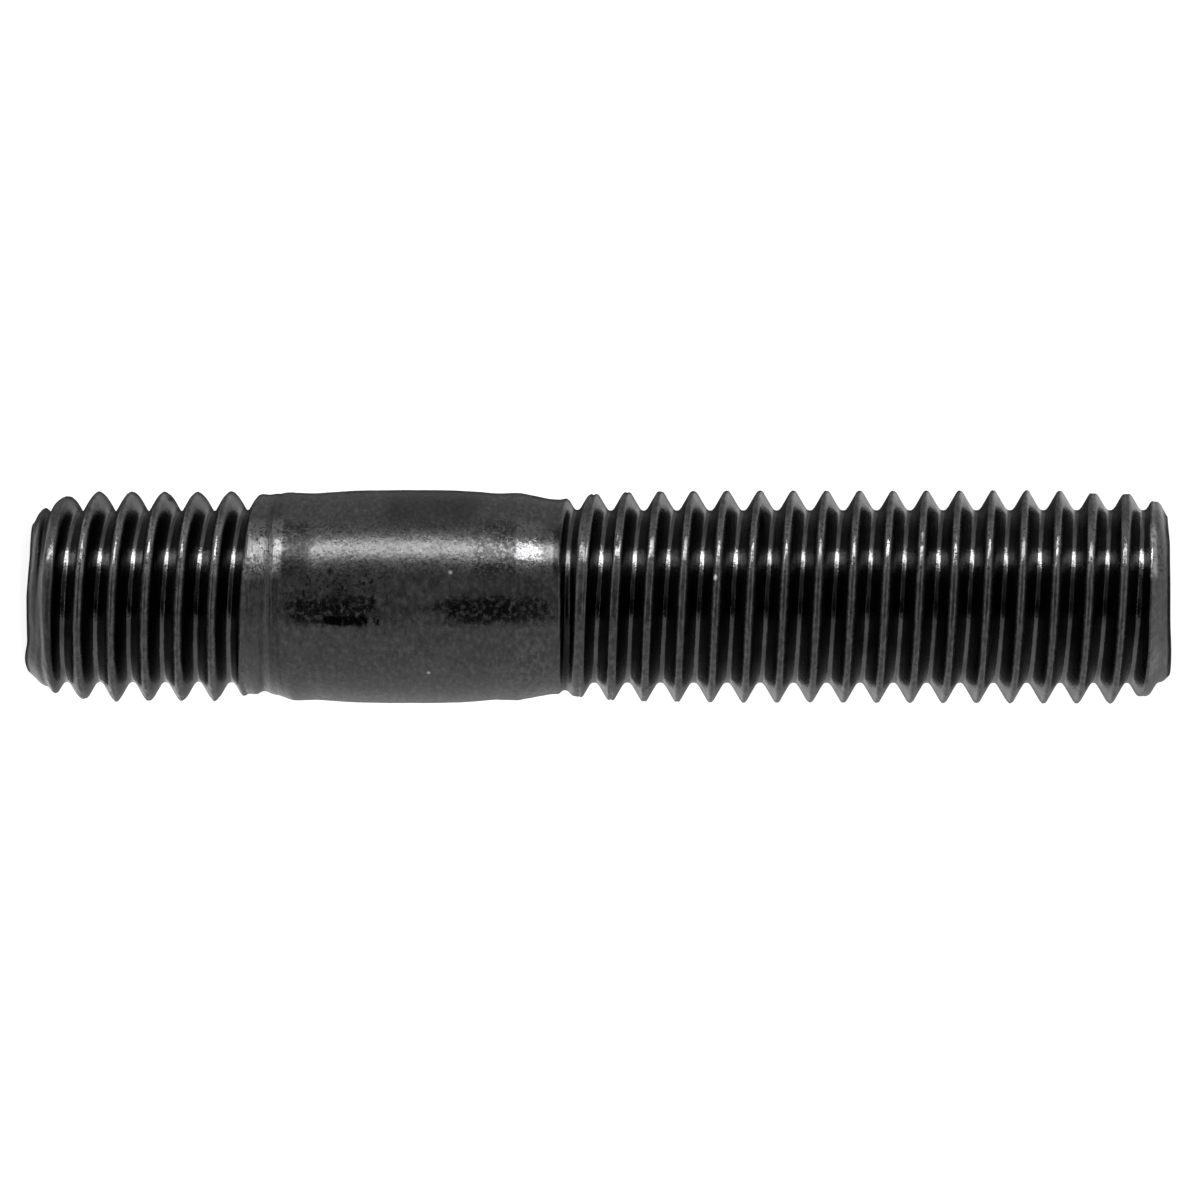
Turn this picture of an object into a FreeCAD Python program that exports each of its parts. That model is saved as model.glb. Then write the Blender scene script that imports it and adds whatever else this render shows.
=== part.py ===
import FreeCAD, Part
import math
import os

import Sketcher

# Double ended stud, one piece of cold-rolled steel standing on its tap end.
# The axis is +Z, the origin is the centre of the tap end face, sizes are in millimetres.

# The photographed stud is threaded left-handed at both ends.
LEFT_HANDED = True

SIZES = {
    # screw thread, the same at both ends
    "thread_diameter": (7.9, "over the crests of both threads"),
    "thread_pitch": (1.25, "from crest to crest along the axis"),
    "thread_depth": (0.35, "from the crests to the bottom of the groove"),
    "crest_width": (0.2, "flat left between two turns of the groove"),
    # tap end, the short one
    "tap_end_diameter": (5.44, "flat end face"),
    "tap_chamfer_length": (0.97, "steep chamfer of the point"),
    "tap_point_diameter": (7.38, "where the chamfer meets the lead-in"),
    "tap_lead_in_length": (1.4, "slow cone over the first crests"),
    "tap_thread_length": (5.29, "crests of full height"),
    "tap_fade_length": (0.69, "crests falling to the neck"),
    "tap_run_out_turns": (1.3, "turns in which the groove climbs out"),
    # plain shank
    "tap_neck_diameter": (7.42, "rolled neck beside the tap end thread"),
    "tap_neck_length": (0.9, "cylindrical part of that neck"),
    "tap_shoulder_length": (0.75, "cone from that neck to the lip"),
    "lip_diameter": (7.8, "edge at each end of the barrel"),
    "tap_barrel_length": (3.72, "rounded rise from the lip"),
    "shank_diameter": (8.0, "over the crown of the barrel"),
    "crown_length": (1.5, "cylindrical land on the crown"),
    "nut_barrel_length": (3.32, "rounded fall to the lip"),
    "nut_shoulder_length": (1.2, "cone from the lip to the neck"),
    "nut_neck_diameter": (7.3, "rolled neck beside the nut end thread"),
    "nut_neck_length": (0.4, "cylindrical part of that neck"),
    # nut end, the long one
    "nut_fade_length": (2.85, "crests rising from the neck"),
    "nut_run_out_turns": (1.9, "turns in which the groove climbs out"),
    "nut_thread_length": (18.91, "crests of full height"),
    "nut_chamfer_length": (1.1, "chamfer of the point"),
    "nut_end_diameter": (5.7, "flat end face"),
}

# The groove's section reaches out of the crests until half of the crest width is left between
# its turns. MOUTH_REACH is how far out that is.
MOUTH_REACH = ("Sizes.thread_depth * Sizes.crest_width / 2"
               " / (Sizes.thread_pitch - Sizes.crest_width)")

# Sketcher's numbers for the start and the end of an edge, and for the sketch's origin.
START, END, ORIGIN = 1, 2, -1


def make_sheet(doc):
    sheet = doc.addObject("Spreadsheet::Sheet", "Sizes")
    for row, (name, (value, meaning)) in enumerate(SIZES.items(), start=1):
        sheet.set(f"A{row}", name)
        sheet.set(f"B{row}", str(value))
        sheet.set(f"C{row}", meaning)
        sheet.setAlias(f"B{row}", name)
    doc.recompute()
    return sheet


def new_sketch(body, name):
    sketch = body.newObject("Sketcher::SketchObject", name)
    plane = next(f for f in body.Origin.OriginFeatures if f.Role == "XZ_Plane")
    sketch.AttachmentSupport = [(plane, "")]
    sketch.MapMode = "FlatFace"
    return sketch


def dimension(sketch, kind, name, expression, *ends):
    """Adds a named dimension between the ends and binds it to the sheet."""
    index = sketch.addConstraint(Sketcher.Constraint(kind, *ends))
    sketch.renameConstraint(index, name)
    sketch.setExpression(f"Constraints.{name}", expression)


def measure_height(sketch, name, geometry, height):
    """Adds a named reference dimension, which follows the height of the geometry's end."""
    index = sketch.addConstraint(
        Sketcher.Constraint("DistanceY", ORIGIN, START, geometry, END, height)
    )
    sketch.setDriving(index, False)
    sketch.renameConstraint(index, name)


def draw_blank(body, sheet):
    """Half section of the blank that the grooves are rolled into, from the tap end up.

    Each step goes to a new diameter over a length along the axis, as a line or a tangent arc.
    """
    sketch = new_sketch(body, "BlankSection")
    steps = [
        ("tap_chamfer", "line", "tap_chamfer_length", "tap_point_diameter"),
        ("tap_lead_in", "line", "tap_lead_in_length", "thread_diameter"),
        ("tap_thread", "line", "tap_thread_length", "thread_diameter"),
        ("tap_fade", "line", "tap_fade_length", "tap_neck_diameter"),
        ("tap_neck", "line", "tap_neck_length", "tap_neck_diameter"),
        ("tap_shoulder", "line", "tap_shoulder_length", "lip_diameter"),
        ("tap_barrel", "arc up", "tap_barrel_length", "shank_diameter"),
        ("crown", "line", "crown_length", "shank_diameter"),
        ("nut_barrel", "arc down", "nut_barrel_length", "lip_diameter"),
        ("nut_shoulder", "line", "nut_shoulder_length", "nut_neck_diameter"),
        ("nut_neck", "line", "nut_neck_length", "nut_neck_diameter"),
        ("nut_fade", "line", "nut_fade_length", "thread_diameter"),
        ("nut_thread", "line", "nut_thread_length", "thread_diameter"),
        ("nut_chamfer", "line", "nut_chamfer_length", "nut_end_diameter"),
    ]
    axis_foot = FreeCAD.Vector(0, 0, 0)
    here = FreeCAD.Vector(sheet.get("tap_end_diameter") / 2, 0, 0)
    last = sketch.addGeometry(Part.LineSegment(axis_foot, here))
    sketch.addConstraint(Sketcher.Constraint("Coincident", last, START, ORIGIN, START))
    sketch.addConstraint(Sketcher.Constraint("Horizontal", last))
    dimension(sketch, "DistanceX", "tap_end_radius", "Sizes.tap_end_diameter / 2",
              ORIGIN, START, last, END, here.x)
    joint = "Coincident"
    for name, form, length, diameter in steps:
        there = FreeCAD.Vector(sheet.get(diameter) / 2, here.y + sheet.get(length), 0)
        if form == "line":
            edge = Part.LineSegment(here, there)
        else:
            edge = tangent_arc(here, there, form)
        geometry = sketch.addGeometry(edge)
        if form == "arc down":
            joint = "Tangent"
        sketch.addConstraint(Sketcher.Constraint(joint, last, END, geometry, START))
        dimension(sketch, "DistanceY", f"{name}_rise", f"Sizes.{length}",
                  geometry, START, geometry, END, there.y - here.y)
        dimension(sketch, "DistanceX", f"{name}_radius", f"Sizes.{diameter} / 2",
                  ORIGIN, START, geometry, END, there.x)
        measure_height(sketch, f"{name}_end", geometry, there.y)
        joint = "Tangent" if form == "arc up" else "Coincident"
        last = geometry
        here = there
    axis_top = FreeCAD.Vector(0, here.y, 0)
    top = sketch.addGeometry(Part.LineSegment(here, axis_top))
    sketch.addConstraint(Sketcher.Constraint("Coincident", last, END, top, START))
    sketch.addConstraint(Sketcher.Constraint("Horizontal", top))
    side = sketch.addGeometry(Part.LineSegment(axis_top, axis_foot))
    sketch.addConstraint(Sketcher.Constraint("Coincident", top, END, side, START))
    sketch.addConstraint(Sketcher.Constraint("Coincident", side, END, ORIGIN, START))
    sketch.addConstraint(Sketcher.Constraint("Vertical", side))
    return sketch


def tangent_arc(low, high, form):
    """Arc between the two points whose tangent is along the axis at its crown end."""
    crown, lip = (high, low) if form == "arc up" else (low, high)
    rise = high.y - low.y
    drop = crown.x - lip.x
    radius = (rise ** 2 + drop ** 2) / (2 * drop)
    centre = FreeCAD.Vector(crown.x - radius, crown.y, 0)
    angle_low = math.atan2(low.y - centre.y, low.x - centre.x)
    angle_high = math.atan2(high.y - centre.y, high.x - centre.x)
    circle = Part.Circle(centre, FreeCAD.Vector(0, 0, 1), radius)
    return Part.ArcOfCircle(circle, angle_low, angle_high)


def draw_groove(body, sheet, name, height):
    """Section of the V groove on the -X side of the stud, with its bottom at the given height."""
    sketch = new_sketch(body, name)
    half_mouth = (sheet.get("thread_pitch") - sheet.get("crest_width") / 2) / 2
    mouth = -sheet.get("thread_diameter") / 2
    bottom = FreeCAD.Vector(mouth + sheet.get("thread_depth"), half_mouth, 0)
    corners = [bottom, FreeCAD.Vector(mouth, 2 * half_mouth, 0), FreeCAD.Vector(mouth, 0, 0)]
    upper, rim, lower = [
        sketch.addGeometry(Part.LineSegment(corners[i], corners[(i + 1) % 3])) for i in range(3)
    ]
    for first, second in ((upper, rim), (rim, lower), (lower, upper)):
        sketch.addConstraint(Sketcher.Constraint("Coincident", first, END, second, START))
    sketch.addConstraint(Sketcher.Constraint("Vertical", rim))
    dimension(sketch, "DistanceX", "bottom_radius",
              "Sizes.thread_diameter / 2 - Sizes.thread_depth", upper, START, ORIGIN, START,
              -bottom.x)
    dimension(sketch, "DistanceX", "mouth_radius", f"Sizes.thread_diameter / 2 + {MOUTH_REACH}",
              rim, START, ORIGIN, START, -mouth)
    dimension(sketch, "DistanceY", "bottom_height", height, ORIGIN, START, upper, START, bottom.y)
    half_width = "(Sizes.thread_pitch - Sizes.crest_width / 2) / 2"
    dimension(sketch, "DistanceY", "upper_half", half_width, upper, START, upper, END, half_mouth)
    dimension(sketch, "DistanceY", "lower_half", half_width, lower, START, lower, END, half_mouth)
    return sketch


def cut_groove(body, name, section, upward, run, growth):
    """Cuts the section along a helix that climbs out of the stud by the growth in each turn."""
    groove = body.newObject("PartDesign::SubtractiveHelix", name)
    groove.Profile = section
    groove.ReferenceAxis = (section, ["V_Axis"])
    groove.Mode = "height-turns-growth"
    groove.LeftHanded = LEFT_HANDED
    groove.Reversed = not upward
    groove.setExpression("Height", run)
    groove.setExpression("Turns", f"({run}) / Sizes.thread_pitch")
    groove.setExpression("Growth", growth)


def roll_thread(doc, body, sheet, end, foot, run, upward):
    """Rolls one thread: full depth from beside the neck to past the end face, then the run-out.

    The bottom of the groove crosses the -X side half a pitch above the foot. The run-out goes
    back from there, towards the neck, and gets shallower until it leaves the stud.
    """
    name = end.capitalize()
    height = f"{foot} + Sizes.thread_pitch / 2"
    run_out = f"Sizes.thread_pitch * Sizes.{end}_run_out_turns"
    climb = f"Sizes.thread_depth / Sizes.{end}_run_out_turns"
    section = draw_groove(body, sheet, f"{name}Section", height)
    doc.recompute()
    cut_groove(body, f"{name}Groove", section, upward, run, "0")
    doc.recompute()
    cut_groove(body, f"{name}RunOut", section, not upward, run_out, climb)
    doc.recompute()


def build_stud(doc, sheet):
    body = doc.addObject("PartDesign::Body", "stud")
    body.Label = "stud"
    body.Placement = FreeCAD.Placement()

    section = draw_blank(body, sheet)
    blank = body.newObject("PartDesign::Revolution", "Blank")
    blank.Profile = section
    blank.ReferenceAxis = (section, ["V_Axis"])
    blank.Angle = 360
    doc.recompute()

    # Both full grooves run on until half a pitch past the end face.
    tap_foot = "BlankSection.Constraints.tap_thread_end / 1mm"
    tap_run = f"{tap_foot} + Sizes.thread_pitch"
    roll_thread(doc, body, sheet, "tap", tap_foot, tap_run, upward=False)
    nut_foot = "BlankSection.Constraints.nut_neck_end / 1mm"
    nut_run = f"BlankSection.Constraints.nut_chamfer_end / 1mm - {nut_foot}"
    roll_thread(doc, body, sheet, "nut", nut_foot, nut_run, upward=True)
    return body


def check(doc, body):
    """Stops the build when a feature failed or the stud isn't one sound solid."""
    for thing in doc.Objects:
        if "Invalid" in thing.State or "Error" in thing.State:
            raise RuntimeError(f"{thing.Label}: {thing.getStatusString()}")
        if thing.isDerivedFrom("Part::Feature"):
            if thing.Shape.isNull() or not thing.Shape.isValid():
                raise RuntimeError(f"{thing.Label} has no valid shape")
    if len(body.Shape.Solids) != 1:
        raise RuntimeError("the stud isn't one solid")


def main():
    doc = FreeCAD.newDocument("DoubleEndedStud")
    sheet = make_sheet(doc)
    body = build_stud(doc, sheet)
    check(doc, body)
    os.makedirs("parts", exist_ok=True)
    body.Shape.exportStep("parts/stud.step")


main()
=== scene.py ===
import math

import bmesh
import bpy
import numpy as np
from mathutils import Matrix, Vector

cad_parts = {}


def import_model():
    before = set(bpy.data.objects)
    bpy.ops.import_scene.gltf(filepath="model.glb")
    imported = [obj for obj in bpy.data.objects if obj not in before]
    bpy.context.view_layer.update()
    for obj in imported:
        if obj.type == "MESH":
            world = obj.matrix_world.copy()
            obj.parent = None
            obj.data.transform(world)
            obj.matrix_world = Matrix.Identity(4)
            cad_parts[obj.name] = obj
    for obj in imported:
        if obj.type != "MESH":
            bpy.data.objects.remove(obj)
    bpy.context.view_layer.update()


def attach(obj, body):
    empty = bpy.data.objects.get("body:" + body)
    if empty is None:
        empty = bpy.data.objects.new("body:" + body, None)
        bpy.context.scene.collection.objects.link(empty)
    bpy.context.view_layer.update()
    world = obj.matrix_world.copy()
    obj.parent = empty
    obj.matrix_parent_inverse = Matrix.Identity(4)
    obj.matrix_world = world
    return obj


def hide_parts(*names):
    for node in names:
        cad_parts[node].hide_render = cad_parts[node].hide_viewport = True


# The stud stands on its tap end. Heights are along +Z from the tap end face, theta is counted
# from +X towards +Y, and the photograph looks along +Y with -X up. Sizes are in millimetres
# until the mesh is written in metres.
MM = 0.001
LENGTH = 43.0
PITCH = 1.25
CREST_RADIUS = 3.95
ROOT_RADIUS = 3.245
ROOT_FLAT = 0.24
ROOT_ROUNDING = 0.16
FULL_DEPTH = 0.74
FLANK_SLOPE = 1 / math.tan(math.radians(30))

# Where the full groove ends on the -X side, how much it climbs in a turn from there, and how
# far the crests are rounded over.
TAP_ROOT_END = 8.288
TAP_CLIMB = 0.74
TAP_ROUND_OVER = 0.26
NUT_ROOT_END = 20.755
NUT_CLIMB = 0.58
NUT_ROUND_OVER = 0.10
# The climb starts softly, over about this share of a turn.
CLIMB_SOFTNESS = 0.1
# The run-out of the nut end's groove lies this much above its helix.
NUT_RUN_OUT_SHIFT = 0.15
# A height on the plain shank, between the two threads, and a radius outside the stud.
MID_SHANK = 14.0
OUTSIDE = 9.0

# The mesh: columns round the stud, rows along it, and the height of the rounded edge of an end.
COLUMNS = 120
ROWS_PER_TURN = 20
EDGE = 0.06
TAP_TURNS = range(-9, 3)
NUT_TURNS = range(-3, 19)
# Between these two heights the rows are evenly spaced.
TAP_TOP_ROW = 10.9
NUT_FIRST_ROW = 17.6
SHANK_ROWS = 26
# Corners of the blank that get a few close rings, and how far from the corner each ring lies.
CREASES = (0.97, 10.0, 18.55, 41.85)
CREASE_RINGS = (-0.07, -0.02, 0.03, 0.08)

# Height and radius of the corners of the blank, and the two arcs of the barrel between them.
BLANK_TAP = [
    (-1.0, 1.72), (0.0, 2.72), (0.62, 3.34), (0.78, 3.42), (0.97, 3.69), (1.45, 3.80),
    (2.3, 3.98), (3.0, 4.0), (7.75, 4.0), (8.25, 3.76), (8.76, 3.81), (9.15, 3.76),
    (10.0, 3.93), (10.87, 3.9),
]
BARREL_UP = (10.87, 3.9, 13.72, 4.02)
BARREL_DOWN = (15.22, 4.02, 17.67, 3.89)
BLANK_NUT = [
    (18.5, 3.91), (18.6, 3.9), (19.74, 3.68), (20.14, 3.66), (21.3, 3.87), (22.9, 3.985),
    (41.9, 3.985), (43.0, 2.9), (44.0, 1.9),
]
TABLE_STEP = 0.01
CORNER_ROUNDING = 0.05


def blank_table():
    """Radius of the blank over the height, with its corners rounded."""
    corners = list(BLANK_TAP)
    z0, r0, z1, r1 = BARREL_UP
    for t in np.linspace(0.1, 1.0, 10):
        corners.append((z0 + (z1 - z0) * t, r1 - (r1 - r0) * (1 - t) ** 2))
    z0, r0, z1, r1 = BARREL_DOWN
    for t in np.linspace(0.0, 1.0, 11):
        corners.append((z0 + (z1 - z0) * t, r0 - (r0 - r1) * t ** 2))
    corners += BLANK_NUT
    heights, radii = np.array(corners).T
    z = np.arange(-0.9, 43.9, TABLE_STEP)
    radius = np.interp(z, heights, radii)
    reach = 20
    steps = np.arange(-reach, reach + 1)
    kernel = np.exp(-0.5 * (steps / (CORNER_ROUNDING / TABLE_STEP)) ** 2)
    padded = np.pad(radius, reach, mode="reflect", reflect_type="odd")
    return z, np.convolve(padded, kernel / kernel.sum(), mode="valid")


TABLE = blank_table()


def smooth_min(a, b, width):
    """The smaller of the two, with a round corner where they cross."""
    overlap = np.clip(1 - np.abs(a - b) / width, 0, None)
    return np.minimum(a, b) - overlap ** 2 * width / 4


def smooth_step(x, low, high):
    """0 at the low value, 1 at the high one, and smooth between."""
    t = np.clip((x - low) / (high - low), 0, 1)
    return t * t * (3 - 2 * t)


def bell(z, centre, half_width):
    """1 at the centre, falling to nothing on both sides."""
    return np.exp(-((z - centre) / half_width) ** 2)


def ripple(theta, z, seed, length, count=40):
    """Even noise round the stud, about -1 to 1, with features of about the given length."""
    random = np.random.default_rng(seed)
    total = np.zeros_like(z)
    for _ in range(count):
        angle = random.uniform(0, 2 * math.pi)
        waves = random.uniform(0.5, 1.0) / length
        turns = round(math.cos(angle) * waves * 2 * math.pi * CREST_RADIUS)
        total += np.cos(turns * theta + 2 * math.pi * math.sin(angle) * waves * z
                        + random.uniform(0, 2 * math.pi))
    return total / math.sqrt(count / 2) / 2


def around(theta, centre):
    """Arc length from the centre angle, in mm."""
    return ((theta - centre + math.pi) % (2 * math.pi) - math.pi) * CREST_RADIUS


# Bruises: angle in degrees, height, depth, half length round the stud and along it. A depth
# below 0 is a burr.
DENTS = [
    (180, 5.32, 0.16, 0.7, 0.07), (180, 5.44, -0.10, 0.5, 0.035), (176, 5.12, 0.03, 0.4, 0.1),
    (259.6, 25.96, 0.09, 0.16, 0.10), (257, 26.1, -0.04, 0.10, 0.06),
    (283.3, 40.15, -0.07, 0.14, 0.10), (281, 40.02, 0.06, 0.12, 0.08),
    (315, 15.37, 0.02, 0.12, 0.10), (275, 9.3, 0.02, 0.14, 0.10), (257, 16.23, 0.02, 0.10, 0.08),
    (225, 27.6, 0.09, 0.30, 0.12), (238, 27.75, 0.05, 0.18, 0.08),
    (300, 36.2, 0.06, 0.35, 0.10), (90, 31.5, 0.10, 0.35, 0.12), (40, 12.4, 0.03, 0.25, 0.12),
    (120, 24.9, 0.08, 0.25, 0.10), (65, 4.1, 0.08, 0.35, 0.12), (20, 37.2, 0.09, 0.3, 0.12),
    (140, 17.0, 0.02, 0.3, 0.1), (345, 22.8, 0.07, 0.25, 0.1), (0, 6.42, 0.05, 0.35, 0.09),
]
# Nicks down to clean steel: angle in degrees, height, radius, and how bright.
NICKS = [
    (315, 15.34, 0.11, 0.35), (275, 9.3, 0.12, 0.3), (257, 16.23, 0.10, 0.35),
    (259.6, 25.98, 0.17, 0.95), (120, 30.4, 0.12, 0.6), (20, 13.1, 0.09, 0.3),
]
NICK_FROM_AXIS = 3.97
# Chips: how many on a crest, and the crests that have them, counted from the end of the roots.
CHIPS_A_CREST = 3
TAP_CRESTS = range(-6, 0)
NUT_CRESTS = range(1, 17)


def crest_chips():
    """Small chips along the crests of both threads, in the same form as the dents."""
    random = np.random.default_rng(7)
    chips = []
    for root_end, crests in ((TAP_ROOT_END, TAP_CRESTS), (NUT_ROOT_END, NUT_CRESTS)):
        for k in crests:
            for _ in range(CHIPS_A_CREST):
                angle = random.uniform(0, 360)
                crest_height = root_end + PITCH * (k + 0.5 - (angle - 180) / 360)
                height = crest_height + random.normal(0, 0.06)
                depth = random.uniform(0.015, 0.055)
                half_round = random.uniform(0.10, 0.26)
                half_along = random.uniform(0.05, 0.10)
                chips.append((angle, height, depth, half_round, half_along))
    return chips


def worn_blank(theta, z):
    """Radius of the blank with its wear and its small faults of shape."""
    blank = np.interp(z, *TABLE)
    toward_x = np.clip(np.cos(theta), 0, None)
    away_x = np.clip(-np.cos(theta), 0, None)

    # The nut end is worn down on the -X side, where two crests are bruised flat.
    wear = 0.14 * smooth_step(z, 38.4, 40.7) * (1 - smooth_step(z, 41.75, 42.15))
    fuller = 0.03 * smooth_step(z, 30, 40)
    blank = blank - wear * away_x ** 1.5 + fuller * toward_x

    # Its last crest is bruised flat on the +X side, with a hollow past it. Its chamfer is fuller
    # on the -X side.
    flat_radius = 3.74
    beside_flat = 0.6 * (1 - toward_x ** 2)
    before_flat = smooth_step(41.6 - z, 0, 0.3)
    hollow = 0.13 * bell(z, 42.48, 0.16)
    nut_filling = 0.27 * bell(z, 42.68, 0.25)
    blank = smooth_min(blank, flat_radius + beside_flat + before_flat, 0.12)
    blank = blank - hollow * toward_x ** 2 + nut_filling * away_x

    # The tap end's chamfer is fuller on both sides.
    away_filling = 0.13 * smooth_step(z, 0.05, 0.3) * (1 - smooth_step(z, 0.5, 0.8))
    toward_filling = 0.12 * (1 - smooth_step(z, 0.4, 0.8))
    blank = blank + away_filling * away_x + toward_filling * toward_x ** 2

    # The neck of the tap end lies off centre.
    off_centre = 0.09 * smooth_step(z, 8.0, 8.4) * (1 - smooth_step(z, 9.4, 10.2))
    blank = blank - off_centre * np.cos(theta)

    # The whole blank is a little uneven.
    broad = 0.006 * ripple(theta, z, seed=1, length=1.2)
    fine = 0.003 * ripple(theta, z, seed=2, length=0.35)
    return blank + broad + fine


def surface(theta, z):
    """Radius of the stud, and how far each point is out on a crest, in a root and in a groove."""
    blank = worn_blank(theta, z)
    turn = (theta - math.pi) / (2 * math.pi)
    wobble = 1 + 0.35 * ripple(theta, z, seed=3, length=1.6)
    radius = blank
    crest = np.zeros_like(z)
    root = np.zeros_like(z)
    for root_end, climb, way, round_over in (
        (TAP_ROOT_END, TAP_CLIMB, 1, TAP_ROUND_OVER),
        (NUT_ROOT_END, NUT_CLIMB, -1, NUT_ROUND_OVER),
    ):
        side = z < MID_SHANK if way > 0 else z > MID_SHANK
        phase = (z - root_end) / PITCH + turn
        groove_number = np.round(phase)
        across = (phase - groove_number) * PITCH
        beyond = way * (groove_number - turn)
        rise = climb * 0.5 * (beyond + np.sqrt(beyond ** 2 + CLIMB_SOFTNESS ** 2))
        if way < 0:
            across = across - NUT_RUN_OUT_SHIFT * smooth_step(beyond, 0.12, 0.35)
        bottom = ROOT_RADIUS + rise
        flank = bottom + (np.abs(across) - ROOT_FLAT / 2) * FLANK_SLOPE
        cut = -smooth_min(-bottom, -flank, ROOT_ROUNDING)
        cut = np.where(side, cut, OUTSIDE)
        radius = smooth_min(radius, cut, round_over * wobble)
        depth_share = np.clip((blank - bottom) / FULL_DEPTH, 0, 1)
        crest = np.where(side, smooth_step(cut, 3.75, 3.99) * depth_share, crest)
        near_bottom = 1 - smooth_step(cut - bottom, 0.02, 0.24)
        root = np.where(side, near_bottom * smooth_step(blank - bottom, 0.15, 0.6), root)
        if way < 0:
            # The first crests of the nut end are double, with a seam between their halves.
            seam = 0.07 * bell(np.abs(across), PITCH / 2, 0.06)
            seam_fade = smooth_step(z, 20.2, 20.9) * (1 - smooth_step(z, 22.6, 26.0))
            seam_depth = 0.8 + 0.4 * ripple(theta, z, seed=4, length=0.8)
            radius = radius - seam * seam_fade * seam_depth
    groove = smooth_step(blank - radius, 0.03, 0.12) * (1 - crest)

    # The crests are uneven, and those of the tap end are ragged on the +X side.
    radius = radius + 0.012 * crest * ripple(theta, z, seed=5, length=0.3)
    toward_x = np.clip(np.cos(theta), 0, None)
    ragged = crest * toward_x ** 6 * (1 - smooth_step(z, 9.5, 10.0))
    bites = 0.09 * np.clip(0.3 + ripple(theta, z, seed=6, length=0.15), 0, None)
    radius = radius - ragged * bites

    for angle, height, depth, half_round, half_along in DENTS + crest_chips():
        u = around(theta, math.radians(angle)) / half_round
        v = (z - height) / half_along
        radius = radius - depth * np.exp(-u * u - v * v)
    return radius, crest, root, groove


def row_heights():
    """Height of each row of vertices at theta 0, closest together over the crests and roots."""
    last_share = 0.965
    half_turn = np.array([0, 0.045, 0.085, 0.12, 0.17, 0.235, 0.305, 0.375, 0.425, 0.465])
    turn = np.sort(np.concatenate([half_turn, last_share - half_turn[::-1]]))
    tap = [TAP_ROOT_END + PITCH * (k + share) for k in TAP_TURNS for share in turn]
    nut = [NUT_ROOT_END + PITCH * (k + share) for k in NUT_TURNS for share in turn]
    tap = [z for z in tap if z < TAP_TOP_ROW]
    nut = [z for z in nut if z > NUT_FIRST_ROW]
    between = np.linspace(tap[-1], nut[0], SHANK_ROWS + 2)[1:-1]
    return np.array(tap + list(between) + nut)


def flat_grid():
    """The stud's side rolled out flat, as theta and height, with rows that follow the thread."""
    rows = row_heights()
    theta = np.linspace(0, 2 * math.pi, COLUMNS + 1)
    share = theta / (2 * math.pi)
    z = np.outer(rows[ROWS_PER_TURN:], 1 - share) + np.outer(rows[:-ROWS_PER_TURN], share)
    flat_points = np.stack([np.broadcast_to(theta, z.shape), z, np.zeros_like(z)], -1)
    columns = COLUMNS + 1
    i = np.arange(len(z) - 1)[:, None] * columns + np.arange(COLUMNS)[None, :]
    faces = np.stack([i, i + 1, i + 1 + columns, i + columns], -1).reshape(-1, 4)
    mesh = bpy.data.meshes.new("flat")
    mesh.from_pydata(flat_points.reshape(-1, 3).tolist(), [], faces.tolist())
    flat = bmesh.new()
    flat.from_mesh(mesh)
    bpy.data.meshes.remove(mesh)
    return flat


def cut_across(flat, height, remove=None):
    """Adds a ring of edges at the height, and removes what is above or below it if asked."""
    bmesh.ops.bisect_plane(
        flat, geom=flat.verts[:] + flat.edges[:] + flat.faces[:], dist=1e-5,
        plane_co=(0, height, 0), plane_no=(0, 1, 0),
        clear_outer=remove == "above", clear_inner=remove == "below",
    )


def flat_side():
    """Theta and height of every point of the side, and its faces."""
    flat = flat_grid()
    cut_across(flat, EDGE, "below")
    cut_across(flat, LENGTH - EDGE, "above")
    for crease in CREASES:
        for offset in CREASE_RINGS:
            cut_across(flat, crease + offset)
    side = bpy.data.meshes.new("side")
    flat.to_mesh(side)
    flat.free()
    co = np.zeros(len(side.vertices) * 3)
    side.vertices.foreach_get("co", co)
    theta, z, _ = co.reshape(-1, 3).T
    faces = [tuple(polygon.vertices) for polygon in side.polygons]
    bpy.data.meshes.remove(side)
    return theta, z, faces


class Skin:
    """The points, faces and masks of the stud while it is put together."""

    def __init__(self, points, faces, masks):
        self.points = points
        self.faces = faces
        self.masks = masks

    def add_points(self, points, **values):
        """Adds points with the given mask values, else 0, and returns their numbers."""
        first = len(self.points)
        self.points = np.vstack([self.points, points])
        for name in self.masks:
            added = np.full(len(points), values.get(name, 0.0))
            self.masks[name] = np.concatenate([self.masks[name], added])
        return np.arange(first, len(self.points))

    def add_face(self, corners, up):
        self.faces.append(corners if up < 0 else corners[::-1])


# The rounded edge of an end face and the rings on it: how far in, and how far below the face.
EDGE_RINGS = [(0.035, 0.022), (0.075, 0.006), (0.13, 0.0)]
FACE_RINGS = [(inset, 0.004 * (k % 2)) for k, inset in enumerate(np.linspace(0.3, 2.5, 14))]
# Further in than this the rings lose some of the outline's unevenness.
EVEN_INSET = 1.0
EVEN_SHARE = 0.2
FACE_RADIUS = 2.75


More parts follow.
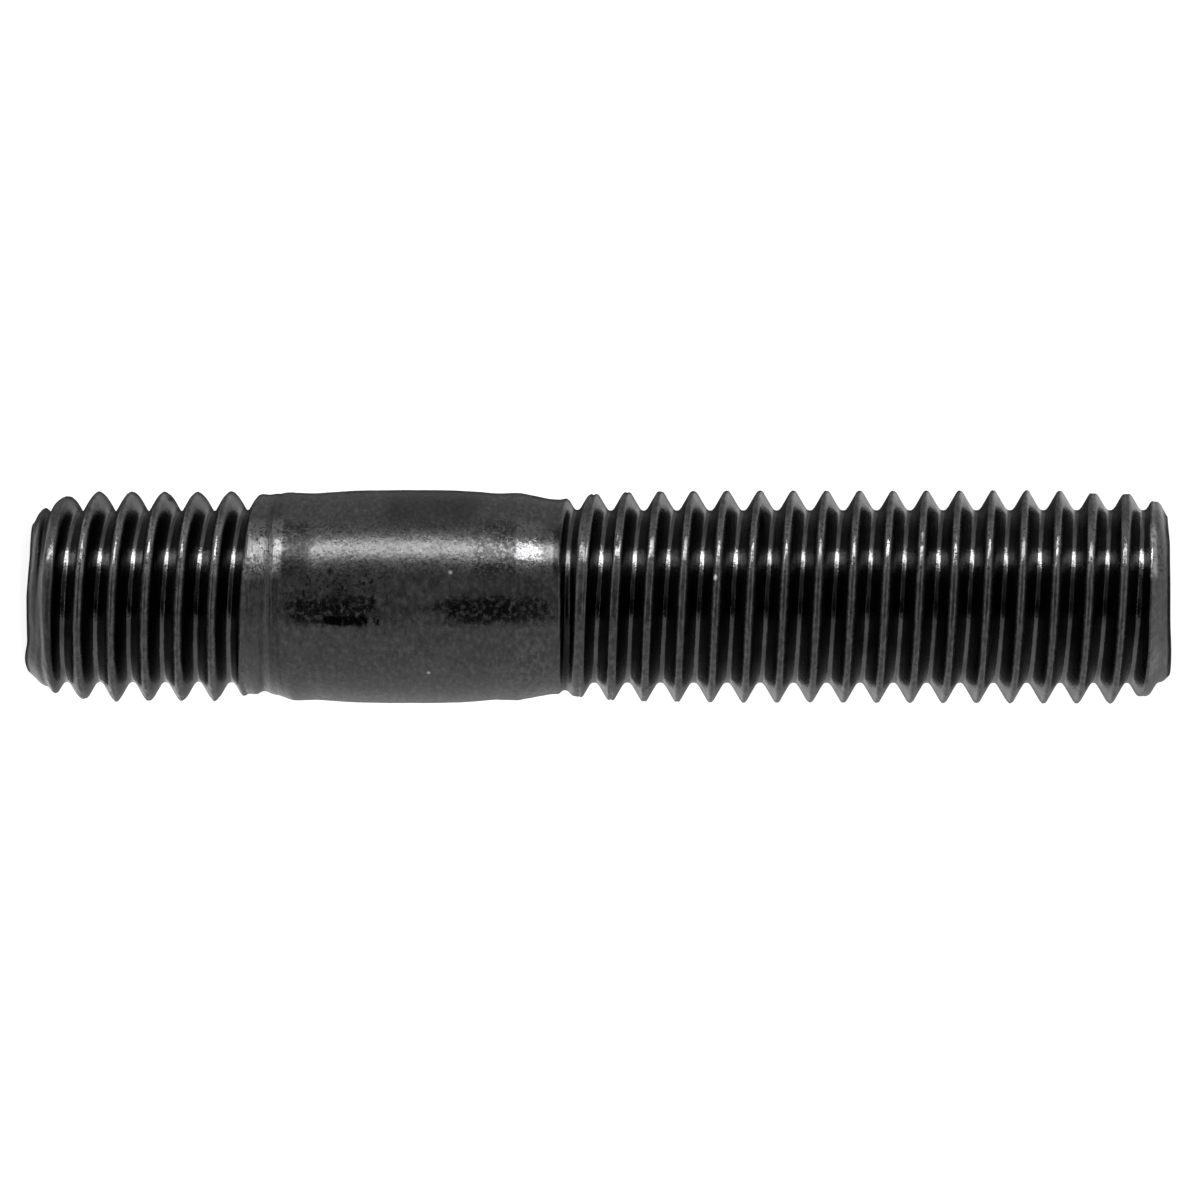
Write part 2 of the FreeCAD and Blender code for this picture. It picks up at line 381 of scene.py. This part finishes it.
def close_end(skin, ring, ring_theta, ring_radius, face_height, up):
    """Closes one end with a rounded edge, then rings down to the middle."""
    for inset, drop in EDGE_RINGS + FACE_RINGS:
        r = ring_radius - inset
        if inset > EVEN_INSET:
            r = r * (1 - EVEN_SHARE) + (FACE_RADIUS - inset) * EVEN_SHARE
        ring_z = np.full(len(ring), face_height - up * drop)
        ring_points = np.stack([r * np.cos(ring_theta), r * np.sin(ring_theta), ring_z], -1)
        rim_share = 0.3 if inset < 0.05 else 0.0
        new_ring = skin.add_points(ring_points, rim=rim_share, end=1.0)
        for a in range(len(ring) - 1):
            skin.add_face((ring[a], new_ring[a], new_ring[a + 1], ring[a + 1]), up)
        ring = new_ring
    middle = skin.add_points([[0, 0, face_height]], end=1.0)[0]
    for a in range(len(ring) - 1):
        skin.add_face((ring[a], middle, ring[a + 1]), up)


def lean_ends(points):
    """Both ends are cut a little out of square: their faces fall away towards -X and -Y."""
    x, y, z = points.T
    blend = 1.1
    near_tap = np.clip(1 - z / blend, 0, 1)
    tap_lean = 0.10 * np.clip(-x / 1.5, 0, 1)
    tap_lean = tap_lean + 0.26 * np.clip(-y / 2.7, 0, 1) * (1 - smooth_step(x, 1.6, 2.6))
    near_nut = np.clip((z - LENGTH) / blend + 1, 0, 1)
    nut_lean = 0.14 * np.clip(-y / 2.6, 0, 1) * (1 - 0.5 * smooth_step(x, 0.5, 2.5))
    nut_lean = nut_lean + 0.08 * smooth_step(-x, 1.8, 3.0)
    points[:, 2] = z + near_tap * tap_lean - near_nut * nut_lean


def weld(mesh):
    """Joins the two edges of the rolled side, and turns every face outward."""
    welded = bmesh.new()
    welded.from_mesh(mesh)
    bmesh.ops.remove_doubles(welded, verts=welded.verts, dist=1e-7)
    bmesh.ops.recalc_face_normals(welded, faces=welded.faces)
    open_edges = sum(1 for edge in welded.edges if len(edge.link_faces) != 2)
    triangles = sum(len(face.verts) - 2 for face in welded.faces)
    print("stud mesh: open edges", open_edges, "triangles", triangles)
    welded.to_mesh(mesh)
    welded.free()


def make_stud():
    theta, z, faces = flat_side()
    radius, crest, root, groove = surface(theta, z)
    points = np.stack([radius * np.cos(theta), radius * np.sin(theta), z], -1)
    rim = 1 - smooth_step(np.minimum(z, LENGTH - z), 0.11, 0.20)
    masks = {"crest": crest, "root": root, "groove": groove, "rim": rim, "end": np.zeros(len(z))}
    skin = Skin(points, faces, masks)
    for edge_height, face_height, up in ((EDGE, 0.0, -1), (LENGTH - EDGE, LENGTH, 1)):
        ring = np.where(np.abs(z - edge_height) < 1e-4)[0]
        ring = ring[np.argsort(theta[ring])]
        close_end(skin, ring, theta[ring], radius[ring], face_height, up)
    lean_ends(skin.points)

    mesh = bpy.data.meshes.new("stud_body")
    mesh.from_pydata((skin.points * MM).tolist(), [], [tuple(map(int, f)) for f in skin.faces])
    for name, mask in skin.masks.items():
        layer = mesh.attributes.new(name, "FLOAT", "POINT")
        layer.data.foreach_set("value", mask.astype(np.float32))
    weld(mesh)
    mesh.shade_smooth()
    stud = bpy.data.objects.new("stud_body", mesh)
    bpy.context.scene.collection.objects.link(stud)
    return stud


class Nodes:
    """Short hand for building one material's node tree."""

    def __init__(self, name):
        self.material = bpy.data.materials.new(name)
        self.material.use_nodes = True
        self.tree = self.material.node_tree
        self.tree.nodes.clear()

    def add(self, kind, **settings):
        node = self.tree.nodes.new(kind)
        for key, value in settings.items():
            setattr(node, key, value)
        return node

    def link(self, a, b):
        self.tree.links.new(a, b)

    def feed(self, socket, value):
        if isinstance(value, bpy.types.NodeSocket):
            self.link(value, socket)
        else:
            socket.default_value = value

    def math(self, operation, a, b=0.0, clamp=False):
        node = self.add("ShaderNodeMath", operation=operation, use_clamp=clamp)
        self.feed(node.inputs[0], a)
        self.feed(node.inputs[1], b)
        return node.outputs[0]

    def plus(self, a, b, clamp=False):
        return self.math("ADD", a, b, clamp)

    def minus(self, a, b):
        return self.math("SUBTRACT", a, b)

    def times(self, a, *more):
        for b in more:
            a = self.math("MULTIPLY", a, b)
        return a

    def largest(self, a, *more):
        for b in more:
            a = self.math("MAXIMUM", a, b)
        return a

    def band(self, value, low, high, out_low=0.0, out_high=1.0):
        """Goes smoothly from one output to the other between two values."""
        node = self.add("ShaderNodeMapRange", interpolation_type="SMOOTHSTEP")
        self.feed(node.inputs["Value"], value)
        node.inputs["From Min"].default_value = low
        node.inputs["From Max"].default_value = high
        node.inputs["To Min"].default_value = out_low
        node.inputs["To Max"].default_value = out_high
        return node.outputs[0]

    def zone(self, value, limits, fade=0.3):
        """1 between the two limits, 0 beyond the fade."""
        low, high = limits
        return self.times(self.band(value, low - fade, low), self.band(value, high, high + fade, 1, 0))

    def vector_math(self, operation, vector, by=None):
        node = self.add("ShaderNodeVectorMath", operation=operation)
        self.link(vector, node.inputs[0])
        if by is not None:
            node.inputs[1].default_value = by
        return node

    def noise(self, vector, scale, detail=3.0, roughness=0.55, stretch=None):
        if stretch:
            vector = self.vector_math("MULTIPLY", vector, stretch).outputs[0]
        node = self.add("ShaderNodeTexNoise")
        self.link(vector, node.inputs["Vector"])
        node.inputs["Scale"].default_value = scale
        node.inputs["Detail"].default_value = detail
        node.inputs["Roughness"].default_value = roughness
        return node.outputs["Fac"]

    def mask(self, name):
        return self.add("ShaderNodeAttribute", attribute_name=name).outputs["Fac"]

    def mix(self, share, a, b):
        node = self.add("ShaderNodeMix", data_type="RGBA")
        self.feed(node.inputs["Factor"], share)
        self.feed(node.inputs["A"], a)
        self.feed(node.inputs["B"], b)
        return node.outputs["Result"]

    def finish(self, shader):
        out = self.add("ShaderNodeOutputMaterial")
        self.link(shader.outputs[0], out.inputs["Surface"])
        return self.material


# Heights of what the material shows, low and high.
TAP_NECK = (8.5, 9.6)
TAP_NECK_HIGHLIGHT = (8.2, 9.2)
TAP_LIP_HIGHLIGHT = (9.58, 9.85)
TAP_LIP_SHADE = (9.45, 9.75)
NUT_NECK = (18.68, 19.6)
NUT_NECK_HIGHLIGHT = (18.7, 19.5)
TAP_WAIST_SCALE_AND_REFLECTION = (10.45, 13.05)
TAP_WAIST_REFLECTION_LINE = (11.6, 13.2)
TAP_WAIST_REFLECTION_DOTS = (10.2, 13.6)
TAP_WAIST_SHADE = (10.05, 10.9)
TAP_WAIST_DIMMED = (10.0, 10.7)
CROWN_TOP_SHADE = (14.0, 16.8)
NUT_WAIST_SCALE_AND_REFLECTION = (16.2, 19.5)
NUT_WAIST_DIMMED = (17.2, 18.6)
NUT_RUN_OUT_SHADE = (20.05, 20.4)
NUT_CHAMFER_HIGHLIGHT = (42.12, 42.28)

# Greys of the film, of what lies on it and of the steel under it, with those of the painted highlights
# and painted shade.
FILM_DARK = 0.0145
FILM_LIGHT = 0.021
FILM_BLOOM = 0.046
FILM_PIT = 0.004
FILM_NECK = 0.034
RUBBED_DARK = 0.040
RUBBED_LIGHT = 0.080
HIGHLIGHT_FLECK_DARK = 0.002
HIGHLIGHT_FLECK_LIGHT = 0.080
SCALE_AND_SHADE_GREY = 0.001
HIGHLIGHT_NUT_END = 0.105
HIGHLIGHT_TAP_END = 0.165
CHAMFER_HIGHLIGHT = 0.24
CLEAN_STEEL = 0.6
GROOVE_FLANK_SHADE = 0.0035
GROOVE_ROOT = 0.097


def grey(value):
    return (value, value, value * 1.02, 1)


class StudNodes(Nodes):
    """The places, masks and noises that the parts of the stud's material share."""

    def __init__(self):
        super().__init__("black_oxide_steel")
        in_mm = self.add("ShaderNodeVectorMath", operation="SCALE")
        self.link(self.add("ShaderNodeTexCoord").outputs["Object"], in_mm.inputs[0])
        in_mm.inputs["Scale"].default_value = 1 / MM
        self.mm = in_mm.outputs[0]
        split = self.add("ShaderNodeSeparateXYZ")
        self.link(self.mm, split.inputs[0])
        self.height = split.outputs["Z"]
        self.angle = self.math("ARCTAN2", split.outputs["Y"], split.outputs["X"])

        self.crest = self.mask("crest")
        self.root = self.mask("root")
        self.groove = self.mask("groove")
        self.rim = self.mask("rim")
        self.end = self.mask("end")

        self.cloud = self.noise(self.mm, 0.9, 4)
        self.speckle = self.noise(self.mm, 6.5, 3, 0.6, stretch=(0.6, 0.6, 0.9))
        self.grit = self.noise(self.mm, 16, 2, 0.6)
        self.flecks = self.noise(self.mm, 9.0, 3, 0.65)
        self.uneven = self.times(self.minus(self.noise(self.mm, 2.6, 4, 0.6), 0.5), 2.2)

        self.tap_neck = self.zone(self.height, TAP_NECK)
        self.nut_neck = self.zone(self.height, NUT_NECK, 0.1)
        # The side where the key light's highlight falls: highlights and shade are painted on it.
        lit_side = self.times(self.turned(-98, -106), self.turned(-142, -130))
        self.lit_side = self.times(lit_side, self.minus(1.0, self.end))
        self.rubbed = self.band(self.noise(self.mm, 1.3, 3, 0.5), 0.35, 0.65, 0.42, 0.72)
        self.rubbed_crest = self.times(self.crest, self.rubbed)

    def turned(self, low, high, out_low=0.0, out_high=1.0):
        """A band over the angle round the stud, in degrees."""
        return self.band(self.angle, math.radians(low), math.radians(high), out_low, out_high)

    def from_angle(self, degrees):
        """How far round from the angle, in radians."""
        return self.math("ABSOLUTE", self.plus(self.angle, math.radians(-degrees)))


def oxide_film(n):
    """Colour of the oxide film, and how thin it is. The steel under thin film mirrors more."""
    film = n.mix(n.band(n.cloud, 0.35, 0.65), grey(FILM_DARK), grey(FILM_LIGHT))
    film = n.mix(n.times(n.band(n.speckle, 0.5, 0.68), 0.6), film, grey(FILM_BLOOM))
    film = n.mix(n.times(n.band(n.speckle, 0.5, 0.32), 0.75), film, grey(FILM_PIT))
    film = n.mix(n.times(n.tap_neck, 0.15), film, grey(FILM_NECK))
    thin = n.largest(n.times(n.nut_neck, 0.6), n.rubbed_crest)
    shine = n.mix(n.band(n.speckle, 0.40, 0.62), grey(RUBBED_DARK), grey(RUBBED_LIGHT))
    return n.mix(n.math("MULTIPLY", thin, 1.2, clamp=True), film, shine), thin


def paint_highlight(n, film):
    """Painted highlight on the lit side: light and dark flecks mottle it, and the necks, the lip and
    the crests there get a brighter steel colour.
    """
    bright = n.times(n.lit_side, n.band(n.flecks, 0.50, 0.63, 0, 0.6))
    dark = n.times(n.lit_side, n.band(n.flecks, 0.48, 0.36, 0, 0.5))
    film = n.mix(bright, film, grey(HIGHLIGHT_FLECK_LIGHT))
    film = n.mix(dark, film, grey(HIGHLIGHT_FLECK_DARK))
    painted_highlight = n.plus(n.times(n.zone(n.height, NUT_NECK_HIGHLIGHT, 0.1), 0.72),
                  n.times(n.zone(n.height, TAP_NECK_HIGHLIGHT, 0.12), 0.4), clamp=True)
    painted_highlight = n.plus(painted_highlight, n.times(n.zone(n.height, TAP_LIP_HIGHLIGHT, 0.12), 0.5), clamp=True)
    painted_highlight = n.largest(painted_highlight, n.rubbed_crest)
    painted_highlight = n.times(painted_highlight, n.lit_side, n.band(n.flecks, 0.36, 0.5))
    steel = n.mix(n.band(n.height, 12.0, 10.0), grey(HIGHLIGHT_NUT_END), grey(HIGHLIGHT_TAP_END))
    return n.mix(painted_highlight, film, steel), n.largest(painted_highlight, bright, dark)


def scale_and_painted_reflection(n):
    """Dark, pitted patches on the waists, most of them on one side. On that side, near -82 degrees,
    they are a painted dark reflection; further round they are burnt, pitted scale.
    """
    ragged_height = n.plus(n.height, n.uneven)
    waists = n.plus(n.zone(ragged_height, TAP_WAIST_SCALE_AND_REFLECTION, 0.5),
                    n.zone(ragged_height, NUT_WAIST_SCALE_AND_REFLECTION, 0.6))
    off_side = n.from_angle(-82)
    near_side = n.band(n.plus(off_side, n.times(n.uneven, 0.10)), 0.07, 0.19, 1, 0)
    far_side = n.times(n.band(n.noise(n.mm, 0.55, 3, 0.5), 0.52, 0.62), n.band(off_side, 1.2, 1.6))
    pits = n.noise(n.mm, 5.6, 3, 0.65)
    patches = n.times(waists, n.largest(near_side, far_side), n.band(pits, 0.62, 0.46, 0, 0.70))

    # A darker line along the lower edge of the patch on the tap side, and loose dots above it, both
    # painted dark reflection.
    off_line = n.plus(n.from_angle(-77), n.times(n.uneven, 0.03))
    line = n.times(n.zone(ragged_height, TAP_WAIST_REFLECTION_LINE, 0.3), n.band(off_line, 0.03, 0.07, 1, 0),
                   n.band(pits, 0.66, 0.5, 0, 0.95))
    dots = n.times(n.zone(n.height, TAP_WAIST_REFLECTION_DOTS, 0.6), n.turned(-86, -91), n.turned(-112, -103),
                   n.band(pits, 0.46, 0.36, 0, 0.7))
    return n.largest(patches, line, dots)


def painted_shade_and_dark_chamfer(n):
    """Painted shade: the crown darker on its upper side, strips of the lit side where the highlight is
    dimmed, and the lip darker away from the lit side. The tap end's chamfer is darker all round.
    """
    crown = n.times(n.zone(n.height, CROWN_TOP_SHADE, 0.7), n.turned(-122, -132), 0.34)
    strip_height = n.plus(n.height, n.times(n.uneven, 0.35))
    strip = n.times(n.zone(strip_height, TAP_WAIST_SHADE), n.lit_side, n.turned(-133, -120, 0, 0.65))
    run_out = n.times(n.zone(n.height, NUT_RUN_OUT_SHADE, 0.1), n.lit_side, 0.7)
    tap_chamfer = n.band(n.height, 1.35, 1.15, 0, 0.36)
    lip = n.times(n.zone(n.height, TAP_LIP_SHADE, 0.12), n.minus(1.0, n.lit_side), 0.28)
    return n.largest(crown, strip, run_out, tap_chamfer, lip)


def add_nicks(n, colour, metal):
    """Nicks that have gone down to clean steel, as pale spots that scatter the light."""
    for degrees, height, size, strength in NICKS:
        a = math.radians(degrees)
        centre = (NICK_FROM_AXIS * math.cos(a), NICK_FROM_AXIS * math.sin(a), height)
        reach = n.vector_math("DISTANCE", n.mm, centre).outputs["Value"]
        nick = n.band(reach, size, size * 0.4, 0, strength)
        colour = n.mix(nick, colour, grey(CLEAN_STEEL))
        metal = n.times(metal, n.minus(1.0, nick))
    return colour, metal


def roughness(n, dimmed_highlight):
    """Duller in pits, where the highlight is dimmed and on the ends, and smoother in roots and on
    crests.
    """
    necks = n.plus(n.tap_neck, n.nut_neck, clamp=True)
    rough = n.band(n.cloud, 0.3, 0.7, 0.165, 0.235)
    rough = n.plus(rough, n.times(n.minus(0.5, n.speckle), 0.2))
    for mask, added in ((n.grit, 0.08), (dimmed_highlight, 0.04), (n.root, -0.12), (n.crest, -0.09),
                        (necks, -0.10), (n.end, 0.15), (n.rim, 0.4)):
        rough = n.plus(rough, n.times(mask, added))
    return rough


def fine_relief(n):
    """Grain of the film, fine marks that run round the stud, and turning marks on its ends."""
    rolling = n.noise(n.mm, 1.0, 4, 0.6, stretch=(0.35, 0.35, 9.0))
    from_axis = n.vector_math("LENGTH", n.vector_math("MULTIPLY", n.mm, (1, 1, 0)).outputs[0])
    rings = n.add("ShaderNodeCombineXYZ")
    n.link(from_axis.outputs["Value"], rings.inputs["X"])
    turning = n.noise(rings.outputs[0], 9.0, 3, 0.6)
    relief = n.plus(n.times(n.speckle, 0.012), n.times(n.grit, 0.004))
    relief = n.plus(relief, n.times(rolling, n.plus(n.times(n.tap_neck, 0.045), 0.009)))
    relief = n.plus(relief, n.times(turning, n.end, 0.05))
    bump = n.add("ShaderNodeBump")
    n.link(relief, bump.inputs["Height"])
    bump.inputs["Distance"].default_value = MM
    bump.inputs["Strength"].default_value = 1.0
    return bump.outputs[0]


def dim_highlight_places(n):
    """Painted shade on the lit side of the two waists, where the highlight is dimmed."""
    dimmed_highlight = n.plus(n.zone(n.height, TAP_WAIST_DIMMED, 0.4),
                  n.times(n.zone(n.height, NUT_WAIST_DIMMED), 0.85), clamp=True)
    return n.times(dimmed_highlight, n.lit_side)


def groove_steel(n):
    """In the grooves the film is gone: the flanks are painted near black, as shade in the grooves, and
    the roots are brighter.
    """
    root_tone = n.band(n.noise(n.mm, 0.8, 2, 0.5), 0.35, 0.65, 0.62, 1.0)
    return n.mix(n.times(n.root, root_tone), grey(GROOVE_FLANK_SHADE), grey(GROOVE_ROOT))


def painted_chamfer_highlight(n):
    """Painted highlight on the chamfer of the nut end, in one place on the lit side."""
    place = n.times(n.zone(n.height, NUT_CHAMFER_HIGHLIGHT, 0.12), n.lit_side)
    return n.times(place, n.band(n.speckle, 0.36, 0.56, 0.2, 1.0))


def stud_material():
    """Black oxide on rolled steel: dark and slightly mottled, thin and lighter on what rubs, with
    painted highlights, painted shade and a painted dark reflection.
    """
    n = StudNodes()
    film, thin = oxide_film(n)
    # Painted highlight: brighter steel and flecks on the lit side.
    film, painted_highlight = paint_highlight(n, film)
    # Scale, the painted dark reflection and painted shade, all mixed to one dark grey.
    scale = n.largest(scale_and_painted_reflection(n), painted_shade_and_dark_chamfer(n))
    dark_rim = n.times(n.rim, 0.95)
    film = n.mix(scale, film, grey(SCALE_AND_SHADE_GREY))
    film = n.mix(dark_rim, film, grey(SCALE_AND_SHADE_GREY))
    colour = n.mix(n.groove, film, groove_steel(n))
    # Painted shade where the highlight is dimmed on the waists.
    dimmed_highlight = dim_highlight_places(n)
    metal = n.largest(n.groove, thin, scale, dark_rim, n.times(dimmed_highlight, 0.8), painted_highlight)

    # Painted highlight on the nut end's chamfer.
    chamfer = painted_chamfer_highlight(n)
    colour = n.mix(chamfer, colour, grey(CHAMFER_HIGHLIGHT))
    metal = n.largest(metal, chamfer)
    colour, metal = add_nicks(n, colour, metal)

    shader = n.add("ShaderNodeBsdfPrincipled")
    shader.inputs["IOR"].default_value = 1.45
    n.link(metal, shader.inputs["Metallic"])
    n.link(colour, shader.inputs["Base Color"])
    n.link(roughness(n, dimmed_highlight), shader.inputs["Roughness"])
    n.link(fine_relief(n), shader.inputs["Normal"])
    return n.finish(shader)


def floor_material():
    n = Nodes("pale_floor")
    shader = n.add("ShaderNodeBsdfPrincipled")
    shader.inputs["Base Color"].default_value = (0.2, 0.2, 0.2, 1)
    shader.inputs["Roughness"].default_value = 0.9
    shader.inputs["Emission Color"].default_value = (1, 1, 1, 1)
    shader.inputs["Emission Strength"].default_value = 0.92
    return n.finish(shader)


def make_floor():
    mesh = bpy.data.meshes.new("floor")
    disc = bmesh.new()
    bmesh.ops.create_circle(disc, cap_ends=True, segments=96, radius=1.2)
    disc.to_mesh(mesh)
    disc.free()
    mesh.materials.append(floor_material())
    floor = bpy.data.objects.new("floor", mesh)
    bpy.context.scene.collection.objects.link(floor)
    # Reflections and light pass the floor, as they would round a small stand.
    floor.visible_glossy = False
    floor.visible_shadow = False


def toward(angle):
    """Direction from the stud, at the angle above the camera's. Up in the photograph is -X."""
    a = math.radians(angle)
    return Vector((-math.sin(a), -math.cos(a), 0))


def make_light(name, angle, distance, spread, length, radiance):
    """A strip light along the stud, seen only in its reflections.

    The spread is the angle, in degrees, that the strip fills as seen from the stud.
    """
    direction = toward(angle)
    up = Vector((0, 0, 1))
    width = 2 * distance * math.tan(math.radians(spread / 2))
    data = bpy.data.lights.new(name, "AREA")
    data.shape = "RECTANGLE"
    data.size = width
    data.size_y = length
    data.energy = radiance * math.pi * width * length
    light = bpy.data.objects.new(name, data)
    bpy.context.scene.collection.objects.link(light)
    across = up.cross(direction)
    turn = Matrix((across, up, across.cross(up))).transposed().to_4x4()
    middle = up * LENGTH / 2 * MM
    light.matrix_world = Matrix.Translation(direction * distance + middle) @ turn
    light.visible_camera = False
    light.visible_diffuse = False


# What the stud mirrors: the glow of the tent at each angle above the camera's.
TENT_GLOW = [
    (-180, 0.25), (-160, 0.38), (-142, 0.65), (-121, 0.82), (-99, 0.96), (-75, 0.87), (-49, 0.73),
    (-29, 0.75), (34, 0.7), (75, 0.72), (95, 0.62), (115, 0.43), (128, 0.35), (148, 0.26),
    (160, 0.06), (172, 0.05), (180, 0.25),
]
TENT_RADIUS = 0.32
TENT_HEIGHTS = (-0.24, -0.10, -0.05, -0.02, 0.0, 0.03, 0.05, 0.07, 0.09, 0.14, 0.28)
TENT_STEP = 4
# The two bright panes behind, past this angle on either side: glow, and the heights between
# which each one comes in.
PANE_ANGLE = 108
HIGH_PANE = (0.9, 0.05, 0.12)
LOW_PANE = (1.0, -0.01, -0.08)
# Two cards before the tent: lowest and highest angle, lowest and highest place, glow.
CARDS = [(-28, -3, -0.20, 0.25, 0.02), (-3, 33, -0.20, 0.25, 0.13)]
CARD_RADIUS = 0.30


def make_band(name, angles, heights, glow, radius):
    """A glowing band round the stud, seen only in its reflections."""
    vertices = [toward(a) * radius + Vector((0, 0, z)) for a in angles for z in heights]
    rows = len(heights)
    faces = [(i * rows + j, (i + 1) * rows + j, (i + 1) * rows + j + 1, i * rows + j + 1)
             for i in range(len(angles) - 1) for j in range(rows - 1)]
    mesh = bpy.data.meshes.new(name)
    mesh.from_pydata(vertices, [], faces)
    layer = mesh.attributes.new("glow", "FLOAT", "POINT")
    layer.data.foreach_set("value", [glow(a, z) for a in angles for z in heights])
    n = Nodes(name)
    shader = n.add("ShaderNodeEmission")
    n.link(n.mask("glow"), shader.inputs["Strength"])
    mesh.materials.append(n.finish(shader))
    band = bpy.data.objects.new(name, mesh)
    bpy.context.scene.collection.objects.link(band)
    band.visible_camera = False
    band.visible_diffuse = False
    band.visible_shadow = False


def tent_glow(angle, z):
    """Glow of the tent. Two bright panes behind, high beside one end and low beside the other."""
    glow = float(np.interp(angle, *zip(*TENT_GLOW)))
    if abs(angle) <= PANE_ANGLE:
        return glow
    pane_glow, start, full = HIGH_PANE if angle > 0 else LOW_PANE
    return glow + (pane_glow - glow) * float(smooth_step(z, start, full))


def make_tent():
    make_band("tent", range(-180, 181, TENT_STEP), TENT_HEIGHTS, tent_glow, TENT_RADIUS)
    for low, high, bottom, top, glow in CARDS:
        angles = (low, (low + high) / 2, high)
        make_band("card", angles, (bottom, top), lambda a, z, even=glow: even, CARD_RADIUS)


def make_world(strength):
    world = bpy.data.worlds.new("studio")
    bpy.context.scene.world = world
    world.use_nodes = True
    background = world.node_tree.nodes["Background"]
    background.inputs["Color"].default_value = (1, 1, 1, 1)
    background.inputs["Strength"].default_value = strength


def make_camera():
    """At the photograph's place: level with the stud's middle, up is -X, the nut end nearer."""
    yaw = math.radians(2.55)
    distance = 0.21
    aim = Vector((0.000130, 0, 0.02160))
    forward = Vector((0, math.cos(yaw), -math.sin(yaw)))
    right = Vector((0, math.sin(yaw), math.cos(yaw)))
    up = Vector((-1, 0, 0))
    data = bpy.data.cameras.new("camera")
    data.lens = 167.2
    data.sensor_width = 36
    data.clip_start = 0.01
    data.clip_end = 20
    camera = bpy.data.objects.new("camera", data)
    bpy.context.scene.collection.objects.link(camera)
    turn = Matrix((right, up, -forward)).transposed().to_4x4()
    camera.matrix_world = Matrix.Translation(aim - forward * distance) @ turn
    bpy.context.scene.camera = camera


def main():
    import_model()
    bpy.context.scene.view_settings.view_transform = "Standard"

    make_camera()
    make_world(strength=1.1)
    make_light("key", angle=54.0, distance=0.22, spread=13.5, length=0.38, radiance=17.0)
    make_tent()
    make_floor()

    stud = make_stud()
    stud.data.materials.append(stud_material())
    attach(stud, "root")
    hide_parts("stud")

    bpy.context.view_layer.update()


main()
